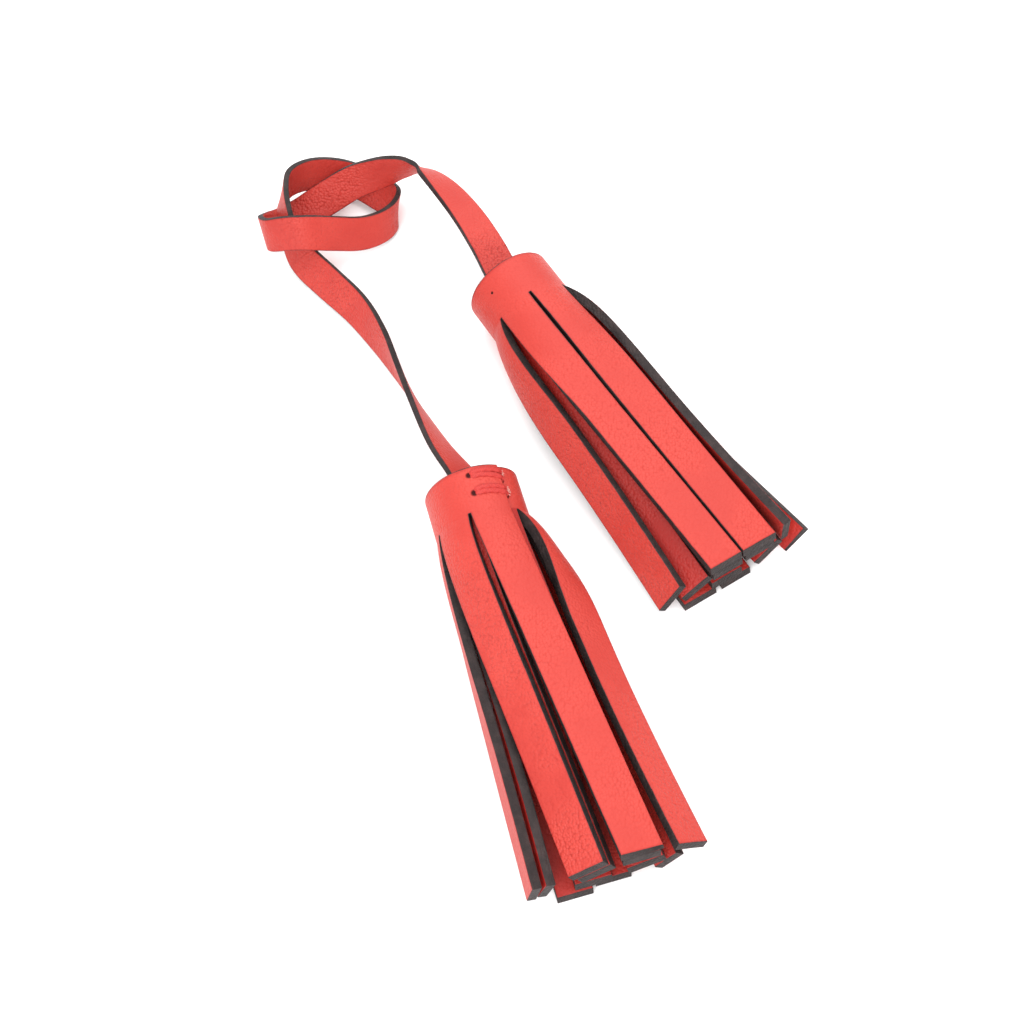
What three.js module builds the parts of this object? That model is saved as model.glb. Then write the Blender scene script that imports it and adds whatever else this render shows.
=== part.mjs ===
// Two leather tassels at the ends of one flat leather strap, which is tied in a loose overhand knot.
// Millimetres, +Z up, the floor is z = 0.
import * as THREE from 'three';

// Tassel panel
const headRadius = 9;        // outside of the rolled head, which lies on the floor
const leather = 1.8;         // thickness of a panel
const layerStep = 1.95;      // from one layer of the roll to the next
const bandHeight = 9.3;      // plain band above the slits
const slitWidth = 0.4;
const stepLead = 40;         // degrees before the flap edge where the under layer starts to drop
const stepRun = 102;         // degrees over which it drops one layer
const swellPeak = 0.16;      // where a strand bulges most, as a share of its length
const flattenBy = 0.45;      // share of its length in which a strand loses the curve of the roll
const tabEnd = 113;          // plain tab past the last strand, to here along the panel; it fills the roll
const tabColumns = 22;
const tipSlant = 0.5;        // how much longer the lower face is at a tip; the ends are trimmed at a slant
const strandRows = 11;
const strandColumns = 4;

// Strap
const strapWidth = 7.2;
const strapThick = 1.2;
const tongueWidth = 5.4;     // narrow ends inside the heads
const narrowing = [[1.45, 1], [38.1, 38.9]];  // rows of the route where it goes from full width to narrow
const stepsPerRow = 3;

// Moves the set so that the middle of the two tassels is above the origin
const originShift = { x: -19.88, y: 11.73 };

const leatherRed = new THREE.MeshStandardMaterial({ color: 0xe8503f, roughness: 0.6 });
leatherRed.name = 'leather_red';

// Where each tassel lies: rim centre, direction of its axis, place of the outer flap edge round the head
const rightPose = { x: -0.72, y: 47.78, heading: -57.9, flap: -56 };
const leftPose = { x: -7.72, y: -0.3, heading: -74.1, flap: 55 };

// A row per strand, in order from the outer flap inwards. At the tip: side offset, height of the middle,
// the way its outer face looks, curve across, distance from the rim. Settle is the share of the length
// after which it lies flat (1: only at the tip). Swell is how far it bulges out below the band. Level is
// the share of the length in which it turns to its facing (1: as it falls).
const strandKeys = ['width', 'side', 'height', 'facing', 'cup', 'tip', 'settle', 'swell', 'level'];
const rightStrands = [
  [6.6, 16.7, 3.3, 322, 0, 76.04, 1, 1.2, 0.6],
  [7.2, 14.1, 7.9, 6, 0, 75, 1, 2.3, 1],
  [7.9, 7.5, 9.5, 88, 0, 75.4, 1, 0.3, 0.45],
  [7.3, -0.1, 9.8, 90, 0, 75.4, 1, 0.6, 0.45],
  [7.6, -10.6, 4.5, 146, 0, 74.2, 1, 1.7, 0.45],
  [7.6, -5, 0.9, 270, 0, 75.8, 0.45, 0, 1],
  [7, 3.2, 0.9, 270, 0, 75.8, 0.45, 0, 1],
  [7, 10.6, 3.4, 315, 0, 75.4, 1, 0, 1],
  [7, 7.9, 7.2, 90, 0, 75.5, 1, 0, 0.45],
  [7, 0.5, 7.2, 90, 0, 75.6, 1, 0, 0.45],
  [7, -5.6, 4.4, 122, 0, 74.9, 1, 0, 0.45],
  [7, 0.6, 3.6, 270, 0, 75.8, 0.6, 0, 1],
];
const leftStrands = [
  [7.6, 8.8, 11.6, 90, 0, 75.3, 1, 0.7, 0.45],
  [7.6, -0.2, 9.1, 124, 0, 75.2, 1, 0.8, 0.45],
  [6.8, -9.6, 5.5, 172, 0, 75.6, 1, 0.9, 0.8],
  [6.8, -2.6, 0.9, 270, 0, 76.59, 0.45, 0, 1],
  [6.8, 4.5, 0.9, 270, 0, 75.6, 0.45, 0, 1],
  [6.8, 14.2, 3.4, 329, 0, 75.8, 1, 1.2, 1],
  [6.8, 17.8, 7.5, 58, 0.02, 75.4, 1, 2.4, 0.35],
  [7, 9, 8.9, 90, 0, 75.5, 1, 0, 0.45],
  [7.2, 1.3, 6.6, 124, 0, 75.4, 1, 0.5, 0.45],
  [6.4, -7.4, 4.7, 166, 0, 75.4, 1, 0.6, 0.8],
  [7, 0.8, 3, 270, 0, 75.8, 0.6, 0, 1],
  [7, 10, 4.8, 290, 0, 75.7, 1, 0, 1],
];

// The strap's centre line from the right head to the left one: x, y, height, lean of its width
// (0: flat, -90: on edge, -180: flat with the other face up).
const strapRoute = [
  [3.5, 41.0, 9.0, -3], [-0.7, 47.8, 9.0, -5], [-4.8, 57.4, 9.0, -10], [-9.2, 66.0, 8.9, -17],
  [-14.2, 73.2, 9.2, -28], [-18.6, 77.3, 9.8, -46], [-22.0, 77.9, 10.2, -72], [-25.9, 77.3, 10.3, -97],
  [-30.3, 76.8, 9.0, -113], [-34.6, 76.3, 7.1, -124], [-40.0, 74.5, 4.3, -140], [-45.0, 72.0, 2.4, -160],
  [-49.2, 69.1, 2.4, -158], [-51.6, 66.0, 4.4, -122], [-51.8, 62.9, 7.2, -94], [-50.2, 60.7, 9.1, -72],
  [-46.6, 59.9, 10.6, -60], [-42.3, 60.0, 10.7, -57], [-37.0, 61.9, 8.1, -57], [-31.6, 64.3, 5.3, -61],
  [-27.2, 67.2, 4.4, -72], [-25.0, 70.8, 4.1, -90], [-25.9, 74.4, 3.5, -125], [-28.9, 77.4, 2.8, -148],
  [-33.0, 79.9, 3.3, -138], [-38.2, 80.9, 4.9, -112], [-43.4, 79.2, 6.8, -104], [-47.2, 75.6, 8.4, -90],
  [-48.4, 71.0, 8.8, -72], [-47.6, 66.2, 7.4, -72], [-46.0, 62.0, 4.9, -62], [-43.4, 58.2, 3.4, -48],
  [-38.6, 53.0, 3.3, -46], [-32.1, 45.9, 3.5, -55], [-27.0, 38.0, 3.9, -72], [-22.8, 29.6, 4.7, -92],
  [-18.4, 19.6, 6.7, -110], [-13.8, 10.0, 8.2, -128], [-9.5, 3.4, 8.8, -139], [-7.7, -0.4, 9.0, -146],
  [-5.5, -8.0, 9.0, -156],
];

const rad = (degrees) => degrees * Math.PI / 180;
const fullTurn = 2 * Math.PI;

// Eased step from 0 to 1
function soft(x) {
  const t = Math.min(1, Math.max(0, x));
  return t * t * (3 - 2 * t);
}

// A strand leaves the band along its line and soon runs straight to the tip
function drift(t) {
  const bend = 0.08;
  return (Math.hypot(t, bend) - bend) / (Math.hypot(1, bend) - bend);
}

// Layers the sheet has dropped at a turning angle; below zero only under the thinned flap
function layersDown(turn) {
  const whole = Math.floor((turn + rad(stepLead)) / fullTurn);
  return whole - 1 + soft((turn + rad(stepLead) - whole * fullTurn) / rad(stepRun));
}

// Outer and inner radius of the rolled sheet
function rollRadii(turn) {
  const down = layersDown(turn);
  return [headRadius - layerStep * Math.max(0, down), headRadius - leather - layerStep * down];
}

// Middle of the rolled sheet at a distance along it from the flap edge
const rollTrack = [];
for (let turn = 0, run = 0, step = rad(0.5); turn < rad(1100); turn += step) {
  rollTrack.push({ turn, run });
  const [outer, inner] = rollRadii(turn + step / 2);
  run += (outer + inner) / 2 * step;
}
function rollAt(run, flap) {
  let i = rollTrack.findIndex((mark) => mark.run > run);
  i = Math.max(1, i);
  const [a, b] = [rollTrack[i - 1], rollTrack[i]];
  const turn = a.turn + (b.turn - a.turn) * (run - a.run) / (b.run - a.run);
  const [outer, inner] = rollRadii(turn);
  const radius = (outer + inner) / 2;
  const angle = flap + turn;
  const [side, lift] = [radius * Math.cos(angle), radius * Math.sin(angle)];
  return { angle, radius, side, lift, thick: outer - inner };
}

// Point across a strand (offset from its middle) at a share of its length, before it is joined to the roll
function strandPoint(offset, share, root, row) {
  let facing = rad(row.facing);
  facing += fullTurn * Math.round((root.angle - facing) / fullTurn);
  const fall = row.settle < 1 ? soft(share / row.settle) : drift(share);
  const bulge = row.swell * share / swellPeak * Math.exp(1 - share / swellPeak);
  const side = root.side + (row.side - root.side) * fall + bulge * Math.cos(root.angle);
  const lift = root.lift + (row.height - headRadius - root.lift) * fall + bulge * Math.sin(root.angle);
  const turned = row.level < 1 ? soft(share / row.level) : fall;
  const angle = root.angle + (facing - root.angle) * turned;
  const flat = soft(share / flattenBy);
  const curve = (1 - flat) / root.radius + row.cup * flat;
  const along = Math.abs(curve) < 1e-6 ? offset : Math.sin(curve * offset) / curve;
  const back = Math.abs(curve) < 1e-6 ? 0 : (Math.cos(curve * offset) - 1) / curve;
  return {
    side: side - along * Math.sin(angle) + back * Math.cos(angle),
    lift: lift + along * Math.cos(angle) + back * Math.sin(angle),
    angle: angle + curve * offset,
  };
}

// Two corners (outer and inner face) of a strand's section, eased into the roll at its root
function strandFaces(offset, share, middle, row, flap) {
  const root = rollAt(middle, flap);
  const here = strandPoint(offset, share, root, row);
  const start = strandPoint(offset, 0, root, row);
  const rolled = rollAt(middle + offset, flap);
  const hold = 1 - soft(share / 0.3);
  const distance = bandHeight + (row.tip - bandHeight) * share;
  const side = here.side + (rolled.side - start.side) * hold;
  const lift = here.lift + (rolled.lift - start.lift) * hold;
  const angle = here.angle + (rolled.angle - start.angle) * hold;
  const slant = tipSlant / 2 * soft((share - 0.9) / 0.1) * Math.sin(angle);
  return [1, -1].map((face) => [
    distance - face * slant,
    side + face * rolled.thick / 2 * Math.cos(angle),
    headRadius + lift + face * rolled.thick / 2 * Math.sin(angle),
  ]);
}

// Closed body from points and quads
function bodyFrom(points, quads) {
  const index = [];
  for (const [a, b, c, d] of quads) index.push(a, b, c, a, c, d);
  const geometry = new THREE.BufferGeometry();
  geometry.setAttribute('position', new THREE.Float32BufferAttribute(points.flat(), 3));
  geometry.setIndex(index);
  geometry.computeVertexNormals();
  return geometry;
}

// A fringed panel rolled into a head, as one sheet with two faces and walls along every cut
function tassel(pose, strandTable) {
  const named = (values) => Object.fromEntries(strandKeys.map((key, i) => [key, values[i]]));
  const rows = strandTable.map(named);
  const flap = rad(pose.flap);
  const heading = rad(pose.heading);
  const axis = [Math.cos(heading), Math.sin(heading)];
  const points = [];
  const quads = [];
  const put = ([distance, side, lift]) => points.push([
    pose.x + originShift.x + distance * axis[0] - side * axis[1],
    pose.y + originShift.y + distance * axis[1] + side * axis[0],
    lift,
  ]) - 1;
  const putBoth = (faces) => ({ outer: put(faces[0]), inner: put(faces[1]) });
  // Wall between the two faces along an edge that runs from one pair to the next
  const wall = (from, to) => quads.push([from.outer, from.inner, to.inner, to.outer]);
  const sheet = (a, b, c, d) => {
    quads.push([a.outer, b.outer, c.outer, d.outer]);
    quads.push([a.inner, d.inner, c.inner, b.inner]);
  };
  const rim = [];
  const foot = [];
  let run = 0;
  rows.forEach((row, k) => {
    const from = run + (k > 0 ? slitWidth / 2 : 0);
    const to = run + row.width - (k < rows.length - 1 ? slitWidth / 2 : 0);
    const middle = run + row.width / 2;
    run += row.width;
    const lines = [];
    for (let i = 0; i <= strandRows; i++) {
      const share = (i / strandRows) ** 1.4;
      const line = [];
      for (let j = 0; j <= strandColumns; j++) {
        const offset = from + (to - from) * j / strandColumns - middle;
        const faces = strandFaces(offset, share, middle, row, flap);
        if (i === 0) rim.push(putBoth(faces.map((face) => [0, face[1], face[2]])));
        line.push(putBoth(faces));
      }
      lines.push(line);
    }
    foot.push(...lines[0]);
    for (let i = 0; i < strandRows; i++) {
      for (let j = 0; j < strandColumns; j++) {
        sheet(lines[i][j], lines[i][j + 1], lines[i + 1][j + 1], lines[i + 1][j]);
      }
      wall(lines[i + 1][0], lines[i][0]);
      wall(lines[i][strandColumns], lines[i + 1][strandColumns]);
    }
    for (let j = 0; j < strandColumns; j++) wall(lines[strandRows][j + 1], lines[strandRows][j]);
  });
  const tabFrom = rim.length;
  for (let j = 1; j <= tabColumns; j++) {
    const rolled = rollAt(run + (tabEnd - run) * j / tabColumns, flap);
    const corners = (distance) => putBoth([1, -1].map((face) => [
      distance,
      rolled.side + face * rolled.thick / 2 * Math.cos(rolled.angle),
      headRadius + rolled.lift + face * rolled.thick / 2 * Math.sin(rolled.angle),
    ]));
    rim.push(corners(0));
    foot.push(corners(bandHeight));
  }
  for (let j = 0; j + 1 < rim.length; j++) {
    sheet(rim[j], rim[j + 1], foot[j + 1], foot[j]);
    wall(rim[j], rim[j + 1]);
    if ((j + 1) % (strandColumns + 1) === 0 || j + 1 >= tabFrom) wall(foot[j + 1], foot[j]);
  }
  wall(foot[0], rim[0]);
  wall(rim.at(-1), foot.at(-1));
  return bodyFrom(points, quads);
}

// Smooth value between the rows of a route
function routeAt(route, place) {
  const last = route.length - 1;
  const i = Math.min(Math.floor(place), last - 1);
  const t = place - i;
  return route[0].map((_, c) => {
    const b = route[i][c];
    const d = route[i + 1][c];
    const a = i > 0 ? route[i - 1][c] : 2 * b - d;
    const e = i + 2 <= last ? route[i + 2][c] : 2 * d - b;
    const bend = 2 * a - 5 * b + 4 * d - e;
    const twist = 3 * b - a - 3 * d + e;
    return 0.5 * (2 * b + (d - a) * t + bend * t * t + twist * t ** 3);
  });
}

// The strap: a flat section carried along its route and leaned as it goes
function strap() {
  const count = (strapRoute.length - 1) * stepsPerRow;
  const marks = [];
  for (let i = 0; i <= count; i++) marks.push(routeAt(strapRoute, i / stepsPerRow));
  const points = [];
  const quads = [];
  const up = new THREE.Vector3(0, 0, 1);
  marks.forEach((mark, i) => {
    const centre = new THREE.Vector3(mark[0] + originShift.x, mark[1] + originShift.y, mark[2]);
    const before = marks[Math.max(0, i - 1)];
    const after = marks[Math.min(count, i + 1)];
    const ahead = new THREE.Vector3(...after).sub(new THREE.Vector3(...before)).normalize();
    const right = new THREE.Vector3().crossVectors(ahead, up).normalize();
    const top = new THREE.Vector3().crossVectors(right, ahead);
    const lean = rad(mark[3]);
    const place = i / stepsPerRow;
    const tuck = Math.max(...narrowing.map(([full, narrow]) => soft((place - full) / (narrow - full))));
    const half = (strapWidth + (tongueWidth - strapWidth) * tuck) / 2;
    const across = right.clone().multiplyScalar(Math.cos(lean)).addScaledVector(top, Math.sin(lean));
    const outward = right.clone().multiplyScalar(-Math.sin(lean)).addScaledVector(top, Math.cos(lean));
    for (const [a, b] of [[-1, 1], [1, 1], [1, -1], [-1, -1]]) {
      const corner = centre.clone().addScaledVector(across, a * half);
      points.push(corner.addScaledVector(outward, b * strapThick / 2).toArray());
    }
    if (i > 0) {
      for (let j = 0; j < 4; j++) {
        const n = (j + 1) % 4;
        quads.push([4 * i - 4 + j, 4 * i - 4 + n, 4 * i + n, 4 * i + j]);
      }
    }
  });
  quads.push([3, 2, 1, 0], [4 * count, 4 * count + 1, 4 * count + 2, 4 * count + 3]);
  return bodyFrom(points, quads);
}

const part = new THREE.Group();
part.name = 'leather_tassel';
for (const [name, geometry] of [
  ['tassel_right', tassel(rightPose, rightStrands)],
  ['tassel_left', tassel(leftPose, leftStrands)],
  ['strap', strap()],
]) {
  const mesh = new THREE.Mesh(geometry, leatherRed);
  mesh.name = name;
  part.add(mesh);
}

export default part;
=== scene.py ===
import bisect
import math
import bpy
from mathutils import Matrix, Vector


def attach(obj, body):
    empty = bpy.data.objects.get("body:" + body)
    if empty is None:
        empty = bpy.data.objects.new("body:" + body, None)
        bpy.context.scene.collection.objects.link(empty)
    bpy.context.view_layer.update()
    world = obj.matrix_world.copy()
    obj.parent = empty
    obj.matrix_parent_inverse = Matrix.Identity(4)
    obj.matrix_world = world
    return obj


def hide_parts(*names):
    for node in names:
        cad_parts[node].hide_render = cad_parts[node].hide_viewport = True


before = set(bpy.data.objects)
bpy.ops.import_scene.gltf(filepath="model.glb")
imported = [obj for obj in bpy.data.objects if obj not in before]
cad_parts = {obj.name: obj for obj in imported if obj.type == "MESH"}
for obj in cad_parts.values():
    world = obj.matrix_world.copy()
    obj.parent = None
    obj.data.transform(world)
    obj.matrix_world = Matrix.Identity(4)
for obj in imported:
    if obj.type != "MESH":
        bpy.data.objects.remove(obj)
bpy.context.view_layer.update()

scene = bpy.context.scene
mm = 0.001
fullTurn = 2 * math.pi
originShift = (-19.88, 11.73)  # mm, puts the middle of the two tassels above the origin

# camera: from the front and well above, not rolled

cameraSetup = {"eye": (-0.01988, -0.12792, 0.25507), "tilt": 28.7, "lens": 52.73, "sensor": 36, "near": 0.01}


def placeCamera(setup):
    lens = bpy.data.cameras.new("camera")
    lens.lens = setup["lens"]
    lens.sensor_width = setup["sensor"]
    lens.clip_start = setup["near"]
    camera = bpy.data.objects.new("camera", lens)
    camera.location = setup["eye"]
    camera.rotation_euler = (math.radians(setup["tilt"]), 0, 0)
    scene.collection.objects.link(camera)
    scene.camera = camera
    scene.view_settings.view_transform = "Standard"  # plain colours, as the leather is


placeCamera(cameraSetup)
print("camera placed")


# shader helper: a socket that can be used in sums

class Wire:
    def __init__(self, tree, socket=None):
        self.tree, self.socket = tree, socket

    def node(self, kind, settings=None, inputs=None, output=0):
        made = self.tree.nodes.new(kind)
        for key, value in (settings or {}).items():
            setattr(made, key, value)
        for key, value in (inputs or {}).items():
            if isinstance(value, Wire):
                self.tree.links.new(value.socket, made.inputs[key])
            else:
                made.inputs[key].default_value = value
        return Wire(self.tree, made.outputs[output] if len(made.outputs) else None)

    def maths(self, operation, first, second=0.0):
        return self.node("ShaderNodeMath", {"operation": operation}, {0: first, 1: second})

    def __add__(self, other): return self.maths("ADD", self, other)
    def __radd__(self, other): return self.maths("ADD", other, self)
    def __sub__(self, other): return self.maths("SUBTRACT", self, other)
    def __rsub__(self, other): return self.maths("SUBTRACT", other, self)
    def __mul__(self, other): return self.maths("MULTIPLY", self, other)
    def __rmul__(self, other): return self.maths("MULTIPLY", other, self)

    def step(self, low, high):  # 0 below low, 1 above high, eased between
        return self.node("ShaderNodeMapRange", {"interpolation_type": "SMOOTHSTEP"},
                         {"Value": self, "From Min": low, "From Max": high})


# leather: fine pebbled grain, soft creases, dark painted cut edges; painted shade in the wrinkles, needle
# holes, seam and inner strands

leatherLook = {
    "red": (0.475, 0.042, 0.03, 1),
    # deeper red: random tone and grain, and painted shade in the wrinkles, along the seam and on the inner
    # strands
    "redDeep": (0.31, 0.013, 0.0095, 1),
    "paint": (0.017, 0.011, 0.011, 1),
    "paintWorn": (0.06, 0.036, 0.034, 1),
    # painted shade in the needle holes and under the flap's edge
    "holeShade": (0.035, 0.001, 0.001, 1),
    "paintReach": 0.13,  # mm that the edge paint comes onto the face
    "rubAndSeamShadeReach": 0.3,  # mm beyond it where the face is darker: rubbed beside the painted edges, painted shade along the flap's seam
    "pebble": 0.52,  # mm across one grain
    "grainDepth": 0.11, "wrinkleDepth": 0.07, "holeDepth": 0.5,  # mm
    "fineScale": 5200.0, "mottleScale": 420.0, "broadScale": 75.0,  # noises, per metre
    "roughness": 0.44, "gloss": 0.3,
}


def leatherMaterial(name, look, holes=()):
    material = bpy.data.materials.new(name)
    material.use_nodes = True
    tree = material.node_tree
    tree.nodes.clear()
    pen = Wire(tree)
    place = pen.node("ShaderNodeTexCoord", output=3)
    cut = pen.node("ShaderNodeAttribute", {"attribute_name": "cut"}, output=2)
    over = pen.node("ShaderNodeAttribute", {"attribute_name": "over"}, output=2)
    along = pen.node("ShaderNodeAttribute", {"attribute_name": "along"}, output=2)
    crease = pen.node("ShaderNodeAttribute", {"attribute_name": "crease"}, output=2)
    inside = pen.node("ShaderNodeAttribute", {"attribute_name": "inside"}, output=2)
    flat = pen.node("ShaderNodeCombineXYZ", inputs={0: over, 1: along})  # mm on the uncut hide
    cells = pen.node("ShaderNodeTexVoronoi", inputs={
        "Vector": place, "Scale": 1 / (look["pebble"] * mm), "Randomness": 0.85})
    pebble = 1 - cells * cells * 1.6  # rounded grains
    fine = pen.node("ShaderNodeTexNoise", inputs={
        "Vector": place, "Scale": look["fineScale"], "Detail": 2.0})
    mottle = pen.node("ShaderNodeTexNoise", inputs={
        "Vector": place, "Scale": look["mottleScale"], "Detail": 3.0})
    broad = pen.node("ShaderNodeTexNoise", inputs={
        "Vector": place, "Scale": look["broadScale"], "Detail": 2.0})
    tight = broad.step(0.38, 0.62)  # where the grain is stretched smooth
    grain = pebble * (0.35 + 0.65 * tight)
    stretched = pen.node("ShaderNodeMapping", inputs={"Vector": flat, "Scale": (0.08, 0.42, 1.0)})
    folds = pen.node("ShaderNodeTexNoise", inputs={"Vector": stretched, "Scale": 1.0, "Detail": 1.5})
    across = (1 - pen.maths("ABSOLUTE", folds - 0.5).step(0.0, 0.035)) * crease.step(0.5, 0.9)
    warp = pen.node("ShaderNodeTexNoise", inputs={"Vector": flat, "Scale": 0.5, "Detail": 2.0}, output=1)
    bent = pen.node("ShaderNodeVectorMath", {"operation": "MULTIPLY_ADD"},
                    {0: warp, 1: (1.8, 1.8, 0.0), 2: flat})
    netPlace = pen.node("ShaderNodeMapping", inputs={"Vector": bent, "Scale": (0.42, 0.6, 1.0)})
    mesh = pen.node("ShaderNodeTexVoronoi", {"feature": "DISTANCE_TO_EDGE"},
                    {"Vector": netPlace, "Scale": 1.0})
    patches = pen.node("ShaderNodeTexNoise", inputs={"Vector": flat, "Scale": 0.22, "Detail": 1.0})
    net = (1 - mesh.step(0.0, 0.3)) * patches.step(0.4, 0.58)  # a net of soft wrinkles, in patches
    # wrinkles: sunk in the bump, and also darker in colour below, as painted shade in the creases
    wrinkleMask = pen.maths("MAXIMUM", across, net) * crease
    ragged = cut + (mottle - 0.5) * 0.12 + (fine - 0.5) * 0.06
    paint = 1 - ragged.step(look["paintReach"] * 0.55, look["paintReach"])
    # a darker band beside the cut edges: rubbed along the painted edges, painted seam shade along the skived
    # flap edge
    rubbedAndSeamShade = (1 - ragged.step(look["paintReach"], look["paintReach"] + look["rubAndSeamShadeReach"])) * (1 - paint)
    shade = (1 - grain) * (0.15 + 0.12 * crease) + (1 - broad.step(0.3, 0.7)) * 0.2
    # painted shade: the inner strands and the inner faces are darkened towards the deeper red
    shade = shade + wrinkleMask * 0.2 + rubbedAndSeamShade * 0.45 + inside * 0.8
    holeShade = None
    for hole in holes:  # painted shade: dark spots in the needle holes and where the threads pass under the flap's edge
        gap = pen.node("ShaderNodeVectorMath", {"operation": "DISTANCE"},
                       {0: place, 1: hole["at"]}, output=1)
        spot = 1 - gap.step(hole["radius"] * 0.55, hole["radius"] * 1.15)
        holeShade = spot if holeShade is None else pen.maths("MAXIMUM", holeShade, spot)
    colour = pen.node("ShaderNodeMix", {"data_type": "RGBA"},
                      {0: shade, 6: look["red"], 7: look["redDeep"]}, output=2)
    if holeShade is not None:
        colour = pen.node("ShaderNodeMix", {"data_type": "RGBA"},
                          {0: holeShade, 6: colour, 7: look["holeShade"]}, output=2)
    worn = mottle.step(0.4, 0.75) * 0.4 + fine.step(0.5, 0.75) * 0.2
    edgeColour = pen.node("ShaderNodeMix", {"data_type": "RGBA"},
                          {0: worn, 6: look["paint"], 7: look["paintWorn"]}, output=2)
    colour = pen.node("ShaderNodeMix", {"data_type": "RGBA"},
                      {0: paint, 6: colour, 7: edgeColour}, output=2)
    height = grain * look["grainDepth"] * (1 + 1.5 * crease) + fine * 0.012 + mottle * 0.06
    height = height - wrinkleMask * look["wrinkleDepth"] - paint * 0.02
    if holeShade is not None:
        height = height - holeShade * look["holeDepth"]
    bump = pen.node("ShaderNodeBump", inputs={"Strength": 0.8, "Distance": mm, "Height": height})
    rough = look["roughness"] + (1 - grain) * 0.1 + (broad - 0.5) * 0.12 + paint * 0.12
    if holeShade is not None:
        rough = rough + holeShade * 0.45
    shader = pen.node("ShaderNodeBsdfPrincipled", inputs={
        "Base Color": colour, "Roughness": rough, "Normal": bump, "Specular IOR Level": look["gloss"]})
    pen.node("ShaderNodeOutputMaterial", inputs={"Surface": shader})
    return material


# mesh helpers

def soft(x):
    t = min(1.0, max(0.0, x))
    return t * t * (3 - 2 * t)


def meshPiece(name, points, faces, marks, material):  # points in mm; marks are values kept on the points
    mesh = bpy.data.meshes.new(name)
    mesh.from_pydata([(x * mm, y * mm, z * mm) for x, y, z in points], [], faces)
    for key, values in marks.items():
        mesh.attributes.new(key, "FLOAT", "POINT").data.foreach_set("value", values)
    mesh.polygons.foreach_set("use_smooth", [True] * len(mesh.polygons))
    mesh.set_sharp_from_angle(angle=math.radians(48))
    mesh.materials.append(material)
    piece = bpy.data.objects.new(name, mesh)
    scene.collection.objects.link(piece)
    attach(piece, "root")
    return piece


def nearStops(edgeRound):  # close steps over a rounded edge
    return [edgeRound * (1 - math.cos(math.radians(a))) for a in (0, 22.5, 45, 67.5, 90)]


def acrossStops(width, edgeRound, inner):  # distances from one cut edge to the other
    near = nearStops(edgeRound)
    middle = [edgeRound + (width - 2 * edgeRound) * k / (inner + 1) for k in range(1, inner + 1)]
    return near + middle + [width - d for d in reversed(near)]


def edgeDrop(distance, thick, edgeRound):  # how far the face falls away near a cut edge
    reach = min(1.0, distance / edgeRound)
    return min(edgeRound, 0.4 * thick) * (1 - math.sqrt(max(0.0, 1 - (1 - reach) ** 2)))


# strap: one flat strip from head to head, tied in a loose overhand knot

strapMake = {
    "width": 7.2, "thick": 1.2, "edgeRound": 0.2, "inner": 5, "stepsPerRow": 10,
    "stepLength": 0.6,  # mm, about, from one step to the next
    "otherFace": 40,  # mm between the two faces on the hide, so that their wrinkles differ
    "tongue": 5.4, "narrowing": ((1.45, 1), (38.1, 38.9)),  # narrow ends; rows where the width changes
    "length": 0.248,  # metres, end to end as seen, with the ends inside the heads
    "route": [  # centre line: x, y, height, lean of the width in degrees
        (3.5, 41.0, 9.0, -3), (-0.7, 47.8, 9.0, -5), (-4.8, 57.4, 9.0, -10),
        (-9.2, 66.0, 8.9, -17), (-14.2, 73.2, 9.2, -28), (-18.6, 77.3, 9.8, -46),
        (-22.0, 77.9, 10.2, -72), (-25.9, 77.3, 10.3, -97), (-30.3, 76.8, 9.0, -113),
        (-34.6, 76.3, 7.1, -124), (-40.0, 74.5, 4.3, -140), (-45.0, 72.0, 2.4, -160),
        (-49.2, 69.1, 2.4, -158), (-51.6, 66.0, 4.4, -122), (-51.8, 62.9, 7.2, -94),
        (-50.2, 60.7, 9.1, -72), (-46.6, 59.9, 10.6, -60), (-42.3, 60.0, 10.7, -57),
        (-37.0, 61.9, 8.1, -57), (-31.6, 64.3, 5.3, -61), (-27.2, 67.2, 4.4, -72),
        (-25.0, 70.8, 4.1, -90), (-25.9, 74.4, 3.5, -125), (-28.9, 77.4, 2.8, -148),
        (-33.0, 79.9, 3.3, -138), (-38.2, 80.9, 4.9, -112), (-43.4, 79.2, 6.8, -104),
        (-47.2, 75.6, 8.4, -90), (-48.4, 71.0, 8.8, -72), (-47.6, 66.2, 7.4, -72),
        (-46.0, 62.0, 4.9, -62), (-43.4, 58.2, 3.4, -48), (-38.6, 53.0, 3.3, -46),
        (-32.1, 45.9, 3.5, -55), (-27.0, 38.0, 3.9, -72), (-22.8, 29.6, 4.7, -92),
        (-18.4, 19.6, 6.7, -110), (-13.8, 10.0, 8.2, -128), (-9.5, 3.4, 8.8, -139),
        (-7.7, -0.4, 9.0, -146), (-5.5, -8.0, 9.0, -156),
    ],
    # rows between which the strip is creased by handling: from, to, how much
    "creased": [(0.6, 2.6, 1.0), (5.0, 12.0, 0.45), (13.0, 17.0, 0.8),
                (20.0, 26.0, 0.4), (30.0, 36.5, 0.85)],
    "creaseEase": 0.7,  # rows over which a creased stretch starts and ends
}


def routeAt(route, place):  # smooth value between the rows of a route
    last = len(route) - 1
    i = min(int(place), last - 1)
    t = place - i
    values = []
    for c in range(len(route[0])):
        b, d = route[i][c], route[i + 1][c]
        a = route[i - 1][c] if i > 0 else 2 * b - d
        e = route[i + 2][c] if i + 2 <= last else 2 * d - b
        values.append(0.5 * (2 * b + (d - a) * t + (2 * a - 5 * b + 4 * d - e) * t * t
                             + (3 * b - a - 3 * d + e) * t ** 3))
    return values


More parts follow.
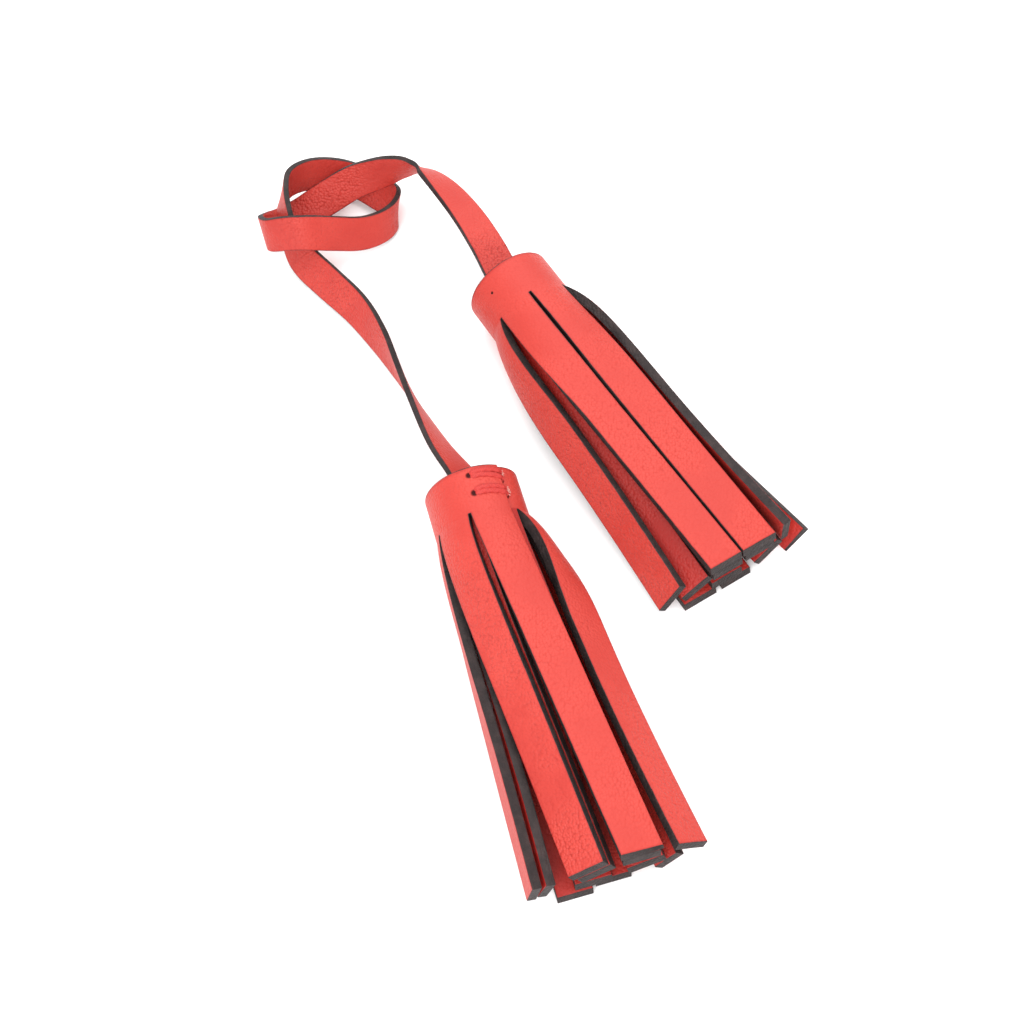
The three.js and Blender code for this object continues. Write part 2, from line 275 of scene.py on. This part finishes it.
def strapPiece(make, material):
    count = (len(make["route"]) - 1) * make["stepsPerRow"]
    rows = [routeAt(make["route"], i / make["stepsPerRow"]) for i in range(count + 1)]
    centres = [Vector((x + originShift[0], y + originShift[1], z)) for x, y, z, lean in rows]
    points, faces, marks = [], [], {"cut": [], "over": [], "along": [], "crease": []}
    run = 0.0
    for i, centre in enumerate(centres):
        ahead = (centres[min(count, i + 1)] - centres[max(0, i - 1)]).normalized()
        right = ahead.cross(Vector((0, 0, 1))).normalized()
        top = right.cross(ahead)
        lean = math.radians(rows[i][3])
        across = right * math.cos(lean) + top * math.sin(lean)
        outward = top * math.cos(lean) - right * math.sin(lean)
        run += (centre - centres[i - 1]).length if i else 0.0
        place = i / make["stepsPerRow"]
        ease = make["creaseEase"]
        creased = max(much * soft((place - low) / ease) * soft((high - place) / ease)
                      for low, high, much in make["creased"])
        endGap = min(i, count - i) * make["stepLength"]
        tuck = max(soft((place - full) / (narrow - full)) for full, narrow in make["narrowing"])
        width = make["width"] + (make["tongue"] - make["width"]) * tuck
        stops = acrossStops(width, make["edgeRound"], make["inner"])
        section = [(d - width / 2, 1, min(d, width - d)) for d in stops]
        section += [(d - width / 2, -1, min(d, width - d)) for d in reversed(stops)]
        for offset, face, edge in section:
            thick = make["thick"] / 2 - edgeDrop(edge, make["thick"], make["edgeRound"])
            points.append(centre + across * offset + outward * (face * thick))
            marks["cut"].append(min(edge, endGap))
            marks["over"].append(offset + make["otherFace"] * face)
            marks["along"].append(run)
            marks["crease"].append(creased)
        if i:
            n = len(section)
            for j in range(n):
                k = (j + 1) % n
                faces.append((n * (i - 1) + j, n * (i - 1) + k, n * i + k, n * i + j))
    n = len(section)
    faces.append(tuple(reversed(range(n))))
    faces.append(tuple(range(n * count, n * count + n)))
    return meshPiece("strap_leather", points, faces, marks, material), centres


strapLeather = leatherMaterial("leatherStrap", leatherLook)
strap, strapLine = strapPiece(strapMake, strapLeather)
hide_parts("strap")
print("strap made")

# tassels: a fringed panel rolled into a head, one sheet with rounded, painted edges

rollMake = {
    "headRadius": 9.0, "leather": 1.8, "layerStep": 1.95, "bandHeight": 9.3, "slitWidth": 0.4,
    "stepLead": math.radians(40), "stepRun": math.radians(102),
    "swellPeak": 0.16, "flattenBy": 0.45, "edgeRound": 0.24, "inner": 7, "rows": 34,
    "tabEnd": 113.0, "tabColumns": 44,  # plain tab past the last strand, wound tightly inside
    "tipSlant": 0.5, "slantRun": 0.9,  # the tips are trimmed at a slant, the lower face is longer
    "holdShare": 0.3,  # share of its length in which a strand keeps some of the roll's shape
    "openRun": 60.0,  # mm below the band over which the slit edges get their full rounding
    "bandSteps": (1.0, 2.4, 4.0, 5.6, 7.2, 8.4, 9.0),  # mm from the rim
    "flapSeamShadeShift": 0.16,  # mm; the skived flap edge gets no edge paint, only the darker band beside it, here painted shade along the seam
    "outerStrands": 7,  # strands of the outer turn; the others get painted shade
    "fleshPaintedShade": 0.6,  # how much painted shade the inner face gets, as a share of a shaded strand's
    "otherFace": 200,  # mm, as for the strap
    "rowPower": 1.4,  # above 1, the rows are closer near the band
    "creaseShare": 0.2,  # share of its length over which a strand's wrinkles start
    "rimPaint": 0.45,  # below 1, the edge paint comes further onto the face at the rim
    "trackStep": math.radians(0.5), "trackEnd": math.radians(1100),
}
strandKeys = ("width", "side", "height", "facing", "cup", "tip", "settle", "swell", "level")
rightMake = {
    "x": -0.72, "y": 47.78, "heading": -57.9, "flap": -56, "flat": (0.113, 0.076), "area": 0.0068,
    "strands": [
        (6.6, 16.7, 3.3, 322, 0, 76.04, 1, 1.2, 0.6), (7.2, 14.1, 7.9, 6, 0, 75, 1, 2.3, 1),
        (7.9, 7.5, 9.5, 88, 0, 75.4, 1, 0.3, 0.45), (7.3, -0.1, 9.8, 90, 0, 75.4, 1, 0.6, 0.45),
        (7.6, -10.6, 4.5, 146, 0, 74.2, 1, 1.7, 0.45), (7.6, -5, 0.9, 270, 0, 75.8, 0.45, 0, 1),
        (7, 3.2, 0.9, 270, 0, 75.8, 0.45, 0, 1), (7, 10.6, 3.4, 315, 0, 75.4, 1, 0, 1),
        (7, 7.9, 7.2, 90, 0, 75.5, 1, 0, 0.45), (7, 0.5, 7.2, 90, 0, 75.6, 1, 0, 0.45),
        (7, -5.6, 4.4, 122, 0, 74.9, 1, 0, 0.45), (7, 0.6, 3.6, 270, 0, 75.8, 0.6, 0, 1),
    ],
    "creased": (0.2, 0.2, 0.12, 0.12, 0.45, 0, 0, 0, 0, 0, 0, 0),  # how wrinkled each strand is
}
leftMake = {
    "x": -7.72, "y": -0.3, "heading": -74.1, "flap": 55, "flat": (0.113, 0.076), "area": 0.00664,
    "strands": [
        (7.6, 8.8, 11.6, 90, 0, 75.3, 1, 0.7, 0.45), (7.6, -0.2, 9.1, 124, 0, 75.2, 1, 0.8, 0.45),
        (6.8, -9.6, 5.5, 172, 0, 75.6, 1, 0.72, 0.8), (6.8, -2.6, 0.9, 270, 0, 76.59, 0.45, 0, 1),
        (6.8, 4.5, 0.9, 270, 0, 75.6, 0.45, 0, 1), (6.8, 14.2, 3.4, 329, 0, 75.8, 1, 1.2, 1),
        (6.8, 17.8, 7.5, 58, 0.02, 75.4, 1, 2.4, 0.35), (7, 9, 8.9, 90, 0, 75.5, 1, 0, 0.45),
        (7.2, 1.3, 6.6, 124, 0, 75.4, 1, 0.5, 0.45), (6.4, -7.4, 4.7, 166, 0, 75.4, 1, 0.6, 0.8),
        (7, 0.8, 3, 270, 0, 75.8, 0.6, 0, 1), (7, 10, 4.8, 290, 0, 75.7, 1, 0, 1),
    ],
    "creased": (0.15, 0.5, 0.3, 0, 0, 0.1, 0.2, 0, 0, 0, 0, 0),
}


def drift(t):  # a strand leaves the band along its line and soon runs straight
    bend = 0.08
    return (math.hypot(t, bend) - bend) / (math.hypot(1, bend) - bend)


def rollRadii(turn, make):  # outer and inner radius of the rolled sheet; thin only at the flap's edge
    whole = math.floor((turn + make["stepLead"]) / fullTurn)
    down = whole - 1 + soft((turn + make["stepLead"] - whole * fullTurn) / make["stepRun"])
    outer = make["headRadius"] - make["layerStep"] * max(0.0, down)
    return outer, make["headRadius"] - make["leather"] - make["layerStep"] * down


def rollTrack(make):  # turning angle against distance along the sheet
    turns, runs, step = [0.0], [0.0], make["trackStep"]
    while turns[-1] < make["trackEnd"]:
        outer, inner = rollRadii(turns[-1] + step / 2, make)
        runs.append(runs[-1] + (outer + inner) / 2 * step)
        turns.append(turns[-1] + step)
    return turns, runs


rollTurns, rollRuns = rollTrack(rollMake)


def rollAt(run, flap, make):
    i = max(1, bisect.bisect_right(rollRuns, run))
    share = (run - rollRuns[i - 1]) / (rollRuns[i] - rollRuns[i - 1])
    turn = rollTurns[i - 1] + (rollTurns[i] - rollTurns[i - 1]) * share
    outer, inner = rollRadii(turn, make)
    radius, angle = (outer + inner) / 2, flap + turn
    return {"angle": angle, "radius": radius, "thick": outer - inner,
            "side": radius * math.cos(angle), "lift": radius * math.sin(angle)}


def strandPoint(offset, share, root, strand, make):  # side, lift and angle before it is joined to the roll
    facing = math.radians(strand["facing"])
    facing += fullTurn * math.floor((root["angle"] - facing) / fullTurn + 0.5)
    fall = soft(share / strand["settle"]) if strand["settle"] < 1 else drift(share)
    bulge = strand["swell"] * share / make["swellPeak"] * math.exp(1 - share / make["swellPeak"])
    side = root["side"] + (strand["side"] - root["side"]) * fall + bulge * math.cos(root["angle"])
    rise = strand["height"] - make["headRadius"] - root["lift"]
    lift = root["lift"] + rise * fall + bulge * math.sin(root["angle"])
    turned = soft(share / strand["level"]) if strand["level"] < 1 else fall
    angle = root["angle"] + (facing - root["angle"]) * turned
    flat = soft(share / make["flattenBy"])
    curve = (1 - flat) / root["radius"] + strand["cup"] * flat
    along = offset if abs(curve) < 1e-6 else math.sin(curve * offset) / curve
    back = 0.0 if abs(curve) < 1e-6 else (math.cos(curve * offset) - 1) / curve
    return (side - along * math.sin(angle) + back * math.cos(angle),
            lift + along * math.cos(angle) + back * math.sin(angle), angle + curve * offset)


def tasselPiece(name, pose, make, material):
    strands = [dict(zip(strandKeys, values)) for values in pose["strands"]]
    flap, heading = math.radians(pose["flap"]), math.radians(pose["heading"])
    axis = (math.cos(heading), math.sin(heading))
    edgeRound, band = make["edgeRound"], make["bandHeight"]
    points, faces, marks = [], [], {"cut": [], "over": [], "along": [], "crease": [], "inside": []}

    def put(distance, side, lift, cut, over, crease, inside):
        points.append((pose["x"] + originShift[0] + distance * axis[0] - side * axis[1],
                       pose["y"] + originShift[1] + distance * axis[1] + side * axis[0],
                       make["headRadius"] + lift))
        for key, value in zip(marks, (cut, over, distance, crease, inside)):
            marks[key].append(value)
        return len(points) - 1

    def putBoth(distance, side, lift, angle, thick, cut, over, crease=0.0, inside=0.0, slant=0.0):
        out = (thick * math.cos(angle), thick * math.sin(angle))
        slant *= math.sin(angle)
        return (put(distance - slant, side + out[0], lift + out[1], cut, over, crease, inside),
                put(distance + slant, side - out[0], lift - out[1], cut, over + make["otherFace"], crease,
                    max(inside, make["fleshPaintedShade"])))

    def sheet(a, b, c, d):
        faces.append((a[0], b[0], c[0], d[0]))
        faces.append((a[1], d[1], c[1], b[1]))

    def wall(a, b):
        faces.append((a[0], a[1], b[1], b[0]))

    bandStops = nearStops(edgeRound) + list(make["bandSteps"])
    bandLines = [[] for _ in bandStops]
    foot = []
    run = 0.0
    for k, strand in enumerate(strands):
        first, last = k == 0, k == len(strands) - 1
        start = run + (0 if first else make["slitWidth"] / 2)
        end = run + strand["width"] - (0 if last else make["slitWidth"] / 2)
        middle = run + strand["width"] / 2
        run += strand["width"]
        root = rollAt(middle, flap, make)
        # inner-turn strands are marked for painted shade
        shaded = 0 if k < make["outerStrands"] else 1
        length = strand["tip"] - band
        stops = acrossStops(end - start, edgeRound, make["inner"])
        tipStops = [length - d for d in reversed(nearStops(edgeRound))]
        plain = tipStops[0] - make["slantRun"]
        reaches = [plain * (i / make["rows"]) ** make["rowPower"] for i in range(make["rows"] + 1)] + tipStops
        lines = []
        for reach in reaches:
            share = reach / length
            hold = 1 - soft(share / make["holdShare"])
            opened = soft(reach / make["openRun"])
            creased = pose["creased"][k] * soft(share / make["creaseShare"])
            slant = make["tipSlant"] / 2 * soft(1 + (reach - tipStops[0]) / make["slantRun"])
            line = []
            for stop in stops:
                offset = start + stop - middle
                here = strandPoint(offset, share, root, strand, make)
                begin = strandPoint(offset, 0, root, strand, make)
                rolled = rollAt(start + stop, flap, make)
                side = here[0] + (rolled["side"] - begin[0]) * hold
                lift = here[1] + (rolled["lift"] - begin[1]) * hold
                angle = here[2] + (rolled["angle"] - begin[2]) * hold
                left, right = stop, end - start - stop
                drop = max(edgeDrop(left, rolled["thick"], edgeRound) * (1 if first else opened),
                           edgeDrop(right, rolled["thick"], edgeRound) * opened,
                           edgeDrop(length - reach, rolled["thick"], edgeRound))
                edge = left + make["flapSeamShadeShift"] if first else left
                cut = min(edge, right, length - reach)
                thick = rolled["thick"] / 2 - drop
                if reach == 0:
                    for bandLine, distance in zip(bandLines, bandStops):
                        nearest = min(left, right)
                        slit = edge if first and left < right else math.hypot(nearest, band - distance)
                        rimDrop = max(edgeDrop(distance, rolled["thick"], edgeRound),
                                      edgeDrop(left, rolled["thick"], edgeRound) if first else 0)
                        bandLine.append(putBoth(distance, side, lift, angle, rolled["thick"] / 2 - rimDrop,
                                                min(make["rimPaint"] * distance, slit), start + stop))
                line.append(putBoth(band + reach, side, lift, angle, thick, cut, start + stop,
                                    creased, shaded, slant))
            lines.append(line)
        foot += lines[0]
        for a, b in zip(lines, lines[1:]):
            for j in range(len(stops) - 1):
                sheet(a[j], a[j + 1], b[j + 1], b[j])
            wall(b[0], a[0])
            wall(a[-1], b[-1])
        for j in range(len(stops) - 1):
            wall(lines[-1][j + 1], lines[-1][j])
    columns, tabFrom = len(stops), len(foot)
    bandLines.append(foot)
    tabStep = (make["tabEnd"] - edgeRound - run) / make["tabColumns"]
    tabStops = [run + tabStep * j for j in range(1, make["tabColumns"])]
    for place in tabStops + [make["tabEnd"] - d for d in reversed(nearStops(edgeRound))]:
        rolled = rollAt(place, flap, make)
        for bandLine, distance in zip(bandLines, bandStops + [band]):
            cut = min(distance, band - distance, make["tabEnd"] - place)
            thick = rolled["thick"] / 2 - edgeDrop(cut, rolled["thick"], edgeRound)
            bandLine.append(putBoth(distance, rolled["side"], rolled["lift"], rolled["angle"],
                                    thick, cut, place))
    for a, b in zip(bandLines, bandLines[1:]):
        for j in range(len(a) - 1):
            sheet(a[j], a[j + 1], b[j + 1], b[j])
        wall(b[0], a[0])
        wall(a[-1], b[-1])
    for j in range(len(foot) - 1):
        wall(bandLines[0][j], bandLines[0][j + 1])
        if (j + 1) % columns == 0 or j + 1 >= tabFrom:
            wall(foot[j + 1], foot[j])
    return meshPiece(name, points, faces, marks, material)


def onHead(pose, make, distance, degrees, rise=0.0):  # a place on a head: from the rim, round it, above it
    heading, angle = math.radians(pose["heading"]), math.radians(degrees)
    side = (make["headRadius"] + rise) * math.cos(angle)
    return (pose["x"] + originShift[0] + distance * math.cos(heading) - side * math.sin(heading),
            pose["y"] + originShift[1] + distance * math.sin(heading) + side * math.cos(heading),
            make["headRadius"] + (make["headRadius"] + rise) * math.sin(angle))


# painted shade: dark spots in the needle holes and under the flap's edge; from the rim, round the head, above
# it, radius
holesLeft = [
    (1.8, 94.5, 0, 0.62), (5.6, 94.2, 0, 0.7), (1.4, 53.4, -0.4, 0.4), (3.2, 53.2, -0.4, 0.66),
    (5.1, 53.0, -0.4, 0.4), (6.6, 52.8, -0.4, 0.62),
]
holesRight = [(4.0, 134.8, 0, 0.3)]
for pose, name, node, holes in ((rightMake, "tassel_right_leather", "tassel_right", holesRight),
                                (leftMake, "tassel_left_leather", "tassel_left", holesLeft)):
    holeShadeSpots = [{"at": tuple(v * mm for v in onHead(pose, rollMake, *spot)), "radius": radius * mm}
              for *spot, radius in holes]
    tassel = tasselPiece(name, pose, rollMake, leatherMaterial("leather_" + node, leatherLook, holeShadeSpots))
    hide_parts(node)
    print(name, "made,", len(tassel.data.polygons), "faces")

# two hand stitches over the flap of the left head, each of two threads

stitchMake = {
    "radius": 0.55, "flat": 0.55, "twist": 2.2, "ply": 0.07, "sides": 14, "steps": 8,
    "red": ((0.34, 0.01, 0.0075, 1), (0.47, 0.024, 0.017, 1)),  # between its fibres, on them
    "pale": ((0.5, 0.13, 0.1, 1), (0.66, 0.32, 0.28, 1)),
    "fibreScale": 6000.0, "fibreDepth": 0.05, "roughness": 0.62,
    "threads": [  # places along each thread: from the rim, round the head, above it
        [(1.75, 93.5, -0.9), (1.6, 91.5, -0.2), (1.3, 87.5, 0.04), (1.2, 78, 0.04), (1.25, 68, 0.04),
         (1.4, 60, 0.04), (1.5, 55.5, -0.1), (1.6, 53, -0.6), (1.6, 52, -1.3)],
        [(1.95, 93.5, -0.9), (2.05, 91.5, -0.2), (2.1, 87.5, 0.04), (2.15, 78, 0.04), (2.35, 68, 0.04),
         (2.65, 60, 0.04), (2.85, 55.5, -0.1), (2.95, 53, -0.6), (2.95, 52, -1.3)],
        [(5.5, 93, -0.9), (5.2, 91.5, -0.2), (4.85, 87.5, 0.04), (4.75, 78, 0.04), (4.85, 68, 0.04),
         (5.05, 60, 0.04), (5.2, 55.5, -0.1), (5.25, 53, -0.6), (5.25, 52, -1.3)],
        [(5.7, 93, -0.9), (5.75, 91.5, -0.2), (5.7, 87.5, 0.04), (5.7, 78, 0.04), (5.85, 68, 0.04),
         (6.05, 60, 0.04), (6.2, 55.5, -0.1), (6.25, 53, -0.6), (6.25, 52, -1.3)],
    ],
    "tuftRadius": 0.12, "tuftSides": 6,
    "tufts": [  # loose fibres of the cut thread ends beyond the flap
        [(1.5, 54, -1.2), (1.4, 52, -0.5), (1.2, 48.5, -0.2)],
        [(1.7, 54, -1.2), (1.75, 51.5, -0.4), (1.9, 48, -0.15)],
        [(1.9, 54, -1.2), (2.2, 52, -0.5), (2.5, 49.5, -0.3)],
        [(1.6, 54, -1.2), (1.5, 50.5, -0.3), (1.6, 47, -0.35)],
        [(2.0, 54, -1.2), (2.1, 50.8, -0.3), (2.2, 47.5, -0.4)],
        [(5.2, 54, -1.2), (5.0, 51.5, -0.4), (4.7, 47.5, -0.2)],
        [(5.4, 54, -1.2), (5.3, 51, -0.35), (5.3, 46.5, -0.2)],
        [(5.7, 54, -1.2), (5.8, 51, -0.35), (5.9, 46, -0.25)],
        [(6.0, 54, -1.2), (6.2, 51.5, -0.45), (6.5, 48, -0.3)],
        [(5.5, 54, -1.2), (5.6, 50, -0.25), (5.5, 45, -0.4)],
        [(5.3, 54, -1.2), (5.1, 50, -0.3), (5.0, 45.5, -0.4)],
    ],
}


def threadMaterial(name, colours):
    material = bpy.data.materials.new(name)
    material.use_nodes = True
    material.node_tree.nodes.clear()
    pen = Wire(material.node_tree)
    place = pen.node("ShaderNodeTexCoord", output=3)
    fibres = pen.node("ShaderNodeTexNoise", inputs={
        "Vector": place, "Scale": stitchMake["fibreScale"], "Detail": 2.0})
    colour = pen.node("ShaderNodeMix", {"data_type": "RGBA"},
                      {0: fibres.step(0.35, 0.65), 6: colours[0], 7: colours[1]}, output=2)
    bump = pen.node("ShaderNodeBump", inputs={
        "Strength": 0.6, "Distance": mm, "Height": fibres * stitchMake["fibreDepth"]})
    shader = pen.node("ShaderNodeBsdfPrincipled", inputs={
        "Base Color": colour, "Roughness": stitchMake["roughness"], "Normal": bump})
    pen.node("ShaderNodeOutputMaterial", inputs={"Surface": shader})
    return material


def threadTubes(name, lines, radius, flat, twist, sides, material):
    points, faces = [], []
    for line in lines:
        places = [onHead(leftMake, rollMake, *row) for row in line]
        count = (len(places) - 1) * stitchMake["steps"]
        path = [Vector(routeAt(places, i / stitchMake["steps"])) for i in range(count + 1)]
        base, run = len(points), 0.0
        for i, centre in enumerate(path):
            ahead = (path[min(count, i + 1)] - path[max(0, i - 1)]).normalized()
            across = ahead.cross(Vector((0, 0, 1))).normalized()
            up = across.cross(ahead)
            run += (centre - path[i - 1]).length if i else 0.0
            for j in range(sides):
                angle = fullTurn * j / sides
                # two plies laid round each other
                reach = radius * (1 + stitchMake["ply"] * math.cos(2 * (angle - twist * run)))
                points.append(centre + across * (reach * math.cos(angle))
                              + up * (flat * reach * math.sin(angle)))
            if i:
                for j in range(sides):
                    k = (j + 1) % sides
                    low = base + sides * (i - 1)
                    faces.append((low + j, low + k, low + sides + k, low + sides + j))
        faces.append(tuple(base + j for j in reversed(range(sides))))
        faces.append(tuple(base + sides * count + j for j in range(sides)))
    return meshPiece(name, points, faces, {}, material)


stitches = threadTubes("stitch_threads", stitchMake["threads"], stitchMake["radius"], stitchMake["flat"],
                       stitchMake["twist"], stitchMake["sides"],
                       threadMaterial("threadRed", stitchMake["red"]))
tufts = threadTubes("stitch_tufts", stitchMake["tufts"], stitchMake["tuftRadius"], 1.0, 0.0,
                    stitchMake["tuftSides"], threadMaterial("threadEnds", stitchMake["pale"]))
print("stitches made")

# floor and light

studio = {
    "floor": (0.94, 0.94, 0.94, 1), "floorSize": 3.0, "floorRough": 0.8,
    "sky": (1, 1, 1, 1), "skyStrength": 1.04,
    "lamps": [  # place, aim, size, watts
        ((0.02, 0.4, 0.85), (-0.02, 0.02, 0), 1.2, 9.6),
        ((-0.15, -0.6, 0.6), (-0.02, 0.02, 0), 0.6, 6.0),
    ],
}


def buildStudio(setup):
    half = setup["floorSize"] / 2
    mesh = bpy.data.meshes.new("floor")
    corners = [(-half, -half, 0), (half, -half, 0), (half, half, 0), (-half, half, 0)]
    mesh.from_pydata(corners, [], [(0, 1, 2, 3)])
    material = bpy.data.materials.new("floorPale")
    material.use_nodes = True
    shader = material.node_tree.nodes["Principled BSDF"]
    shader.inputs["Base Color"].default_value = setup["floor"]
    shader.inputs["Roughness"].default_value = setup["floorRough"]
    mesh.materials.append(material)
    floor = bpy.data.objects.new("floor", mesh)
    scene.collection.objects.link(floor)
    world = bpy.data.worlds.new("studioSky")
    world.use_nodes = True
    world.node_tree.nodes["Background"].inputs["Color"].default_value = setup["sky"]
    world.node_tree.nodes["Background"].inputs["Strength"].default_value = setup["skyStrength"]
    scene.world = world
    for i, (place, aim, size, watts) in enumerate(setup["lamps"]):
        light = bpy.data.lights.new("softbox" + str(i), "AREA")
        light.size, light.energy = size, watts
        lamp = bpy.data.objects.new("softbox" + str(i), light)
        lamp.location = place
        lamp.rotation_euler = (Vector(aim) - Vector(place)).to_track_quat("-Z", "Y").to_euler()
        scene.collection.objects.link(lamp)


buildStudio(studio)
print("studio lit")

bpy.context.view_layer.update()
